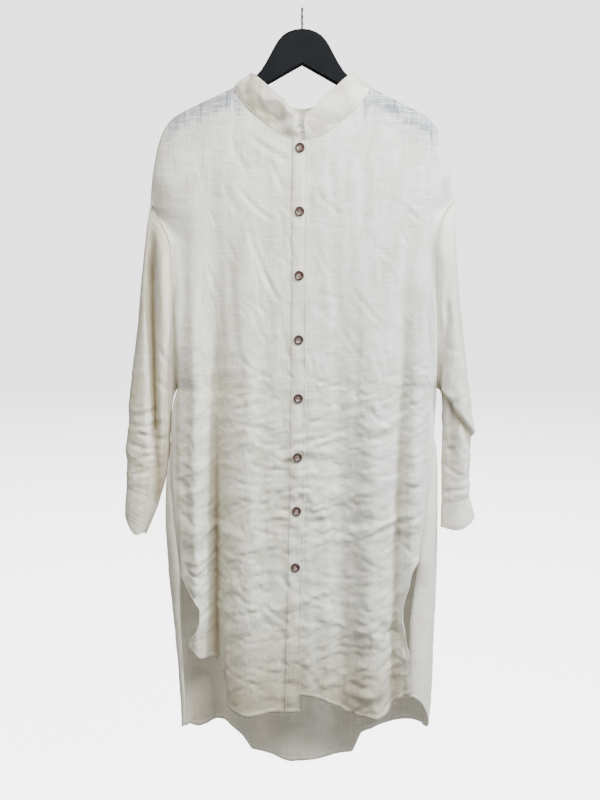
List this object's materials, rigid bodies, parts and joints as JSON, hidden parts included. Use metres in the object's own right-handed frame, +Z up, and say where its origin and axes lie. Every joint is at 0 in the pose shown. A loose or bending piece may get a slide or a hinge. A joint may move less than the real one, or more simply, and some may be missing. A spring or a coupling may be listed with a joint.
{
  "type": "shirt dress on a hanger",
  "caption": "Long loose linen shirt dress with a band collar, buttoned front, cuffed sleeves, side slits and a longer back, hung on a flat dark hanger.",
  "frame": {"origin": "top of the inside of the hanger's hook, where it rests on a rail", "axes": "+Z up; the dress faces -Y, with its buttoned front towards -Y; +X is to the viewer's right, which is the wearer's left"},
  "size_m": [0.5919, 0.1116, 1.2852],
  "materials": {
    "linen": "matt plain-weave linen, off-white",
    "label": "blank grey woven label",
    "button": "polished brown shell-like button",
    "hanger": "matt black painted board",
    "hook": "satin steel wire"
  },
  "bodies": {
    "root": {"front_right": "linen", "front_left": "linen", "back": "linen", "sleeve_right": "linen", "sleeve_left": "linen", "cuff_right": "linen", "cuff_left": "linen", "collar_band": "linen", "placket": "linen", "button_1": "button", "button_2": "button", "button_3": "button", "button_4": "button", "button_5": "button", "button_6": "button", "button_7": "button", "button_8": "button", "neck_label": "label", "hanger_body": "hanger", "hanger_hook": "hook"}
  },
  "joints": []
}
